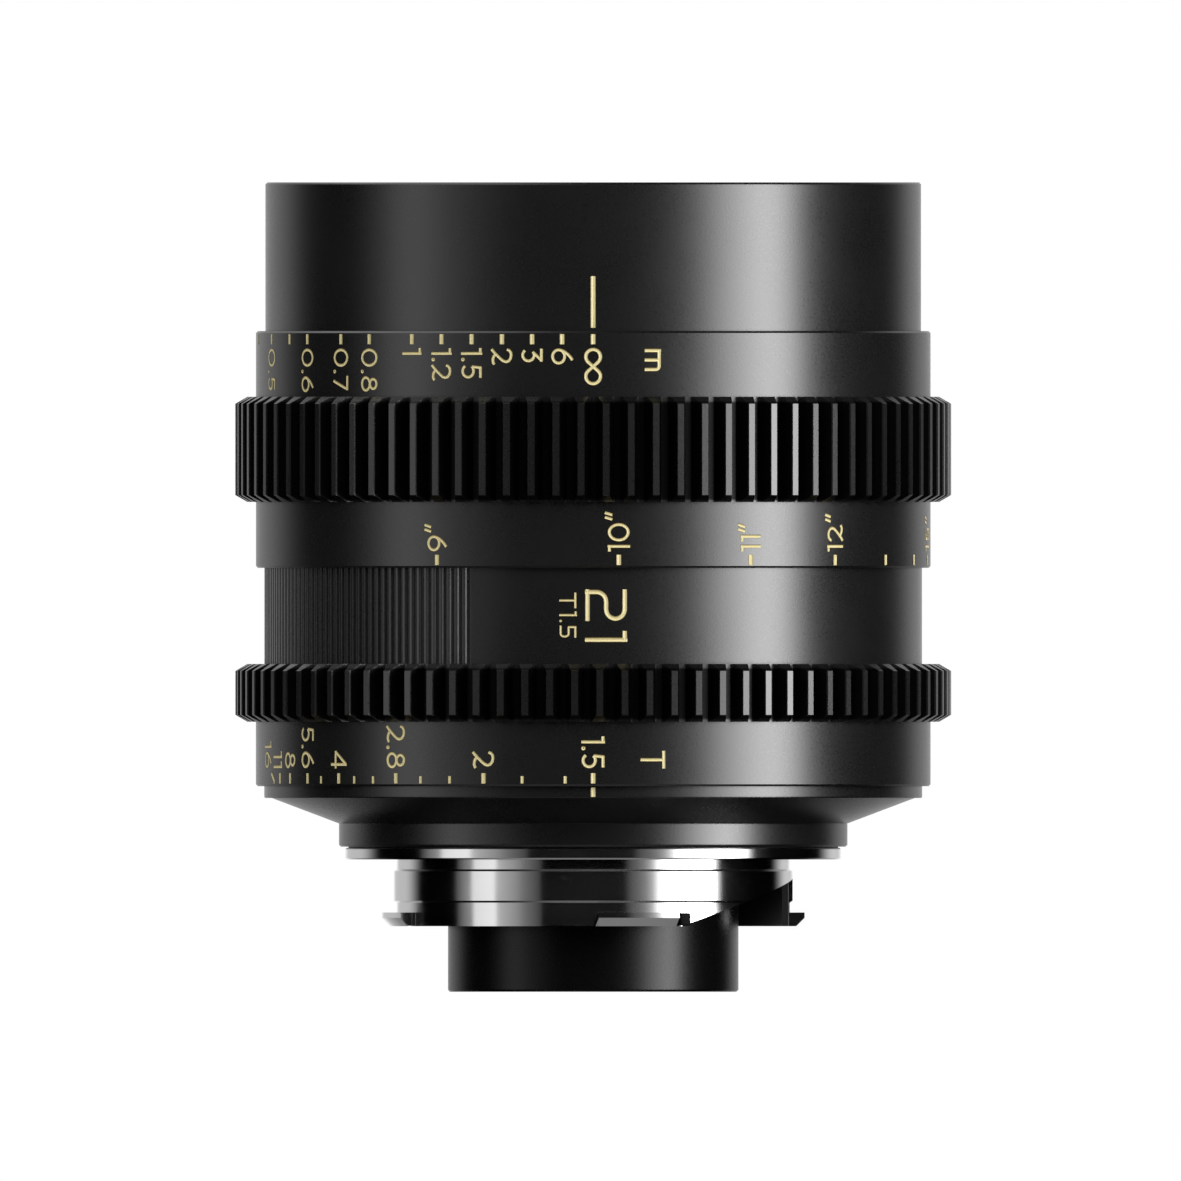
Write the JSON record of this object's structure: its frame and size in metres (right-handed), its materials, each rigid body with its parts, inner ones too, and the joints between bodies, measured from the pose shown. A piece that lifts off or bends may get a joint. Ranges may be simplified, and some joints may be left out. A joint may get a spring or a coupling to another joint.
{
  "type": "cinema prime lens",
  "caption": "Cinema prime lens with a geared focus ring, a geared iris ring, a knurled grip barrel, a bladed iris and a lugged bayonet mount.",
  "frame": {"origin": "centre of the mount's flange face, on the optical axis", "axes": "+Z along the optical axis toward the front, -Y toward the index line"},
  "size_m": [0.0728, 0.0728, 0.0824],
  "materials": {
    "black_anodised": "fine blasted black anodising",
    "inside_black": "matt black",
    "coated_glass": "polished and coated",
    "steel": "machined",
    "blade_black": "blackened",
    "brass": "machined",
    "chrome": "satin turned chrome",
    "red_mark": "gloss"
  },
  "bodies": {
    "barrel": {"front_barrel": "black_anodised", "front_baffle": "inside_black", "front_cell": "inside_black", "front_element": "coated_glass", "front_retainer": "inside_black", "second_element": "coated_glass", "second_retainer": "inside_black", "main_barrel": "black_anodised", "focus_washers": "brass", "grip_barrel": "black_anodised", "grip_screws": "steel", "rear_housing": "black_anodised", "housing_screws": "steel", "mount_shim": "inside_black", "bayonet_mount": "chrome", "mount_screws": "steel", "alignment_bead": "red_mark", "rear_tube": "black_anodised", "rear_tube_ring": "inside_black", "rear_element_1": "coated_glass", "rear_element_2": "coated_glass", "rear_element_3": "coated_glass", "rear_spacer": "inside_black", "rear_retainer": "inside_black", "iris_base": "inside_black", "iris_screws": "steel", "iris_cover": "inside_black"},
    "focus_ring": {"focus_ring": "black_anodised", "focus_cam_sleeve": "brass", "focus_grub_screws": "steel"},
    "focus_group": {"focus_carrier": "black_anodised", "focus_element_1": "coated_glass", "focus_element_2": "coated_glass", "focus_element_3": "coated_glass", "focus_front_retainer": "inside_black", "focus_rear_retainer": "inside_black", "guide_pins": "steel", "drive_pin": "steel"},
    "iris_ring": {"iris_ring": "black_anodised", "iris_cam_ring": "steel", "iris_drive_pin": "steel"},
    "iris_blade_1": {"iris_blade_1": "blade_black"},
    "iris_blade_2": {"iris_blade_2": "blade_black"},
    "iris_blade_3": {"iris_blade_3": "blade_black"},
    "iris_blade_4": {"iris_blade_4": "blade_black"},
    "iris_blade_5": {"iris_blade_5": "blade_black"},
    "iris_blade_6": {"iris_blade_6": "blade_black"},
    "iris_blade_7": {"iris_blade_7": "blade_black"},
    "iris_blade_8": {"iris_blade_8": "blade_black"},
    "iris_blade_9": {"iris_blade_9": "blade_black"}
  },
  "joints": [
    {"name": "focus_turn", "type": "hinge", "parent": "barrel", "child": "focus_ring", "pos_m": [0, 0, 0.0417], "axis": [0, 0, 1], "range_deg": [0, 208]},
    {"name": "focus_travel", "type": "slide", "parent": "barrel", "child": "focus_group", "axis": [0, 0, 1], "range_m": [0, 0.0027]},
    {"name": "iris_turn", "type": "hinge", "parent": "barrel", "child": "iris_ring", "pos_m": [0, 0, 0.0137], "axis": [0, 0, 1], "range_deg": [0, 72]},
    {"name": "blade_1_turn", "type": "hinge", "parent": "barrel", "child": "iris_blade_1", "pos_m": [0.0185, 0, 0.0105], "axis": [0, 0, 1], "range_deg": [0, 32.72]},
    {"name": "blade_2_turn", "type": "hinge", "parent": "barrel", "child": "iris_blade_2", "pos_m": [0.01417, 0.01189, 0.0105], "axis": [0, 0, 1], "range_deg": [0, 32.72]},
    {"name": "blade_3_turn", "type": "hinge", "parent": "barrel", "child": "iris_blade_3", "pos_m": [0.00321, 0.01822, 0.0105], "axis": [0, 0, 1], "range_deg": [0, 32.72]},
    {"name": "blade_4_turn", "type": "hinge", "parent": "barrel", "child": "iris_blade_4", "pos_m": [-0.00925, 0.01602, 0.0105], "axis": [0, 0, 1], "range_deg": [0, 32.72]},
    {"name": "blade_5_turn", "type": "hinge", "parent": "barrel", "child": "iris_blade_5", "pos_m": [-0.01738, 0.00633, 0.0105], "axis": [0, 0, 1], "range_deg": [0, 32.72]},
    {"name": "blade_6_turn", "type": "hinge", "parent": "barrel", "child": "iris_blade_6", "pos_m": [-0.01738, -0.00633, 0.0105], "axis": [0, 0, 1], "range_deg": [0, 32.72]},
    {"name": "blade_7_turn", "type": "hinge", "parent": "barrel", "child": "iris_blade_7", "pos_m": [-0.00925, -0.01602, 0.0105], "axis": [0, 0, 1], "range_deg": [0, 32.72]},
    {"name": "blade_8_turn", "type": "hinge", "parent": "barrel", "child": "iris_blade_8", "pos_m": [0.00321, -0.01822, 0.0105], "axis": [0, 0, 1], "range_deg": [0, 32.72]},
    {"name": "blade_9_turn", "type": "hinge", "parent": "barrel", "child": "iris_blade_9", "pos_m": [0.01417, -0.01189, 0.0105], "axis": [0, 0, 1], "range_deg": [0, 32.72]}
  ],
  "couplings": [
    {"joint": "focus_travel", "follows": "focus_turn", "m_per_rad": 0.00074374},
    {"joint": "blade_1_turn", "follows": "iris_turn", "ratio": 0.45436},
    {"joint": "blade_2_turn", "follows": "iris_turn", "ratio": 0.45436},
    {"joint": "blade_3_turn", "follows": "iris_turn", "ratio": 0.45436},
    {"joint": "blade_4_turn", "follows": "iris_turn", "ratio": 0.45436},
    {"joint": "blade_5_turn", "follows": "iris_turn", "ratio": 0.45436},
    {"joint": "blade_6_turn", "follows": "iris_turn", "ratio": 0.45436},
    {"joint": "blade_7_turn", "follows": "iris_turn", "ratio": 0.45436},
    {"joint": "blade_8_turn", "follows": "iris_turn", "ratio": 0.45436},
    {"joint": "blade_9_turn", "follows": "iris_turn", "ratio": 0.45436}
  ]
}
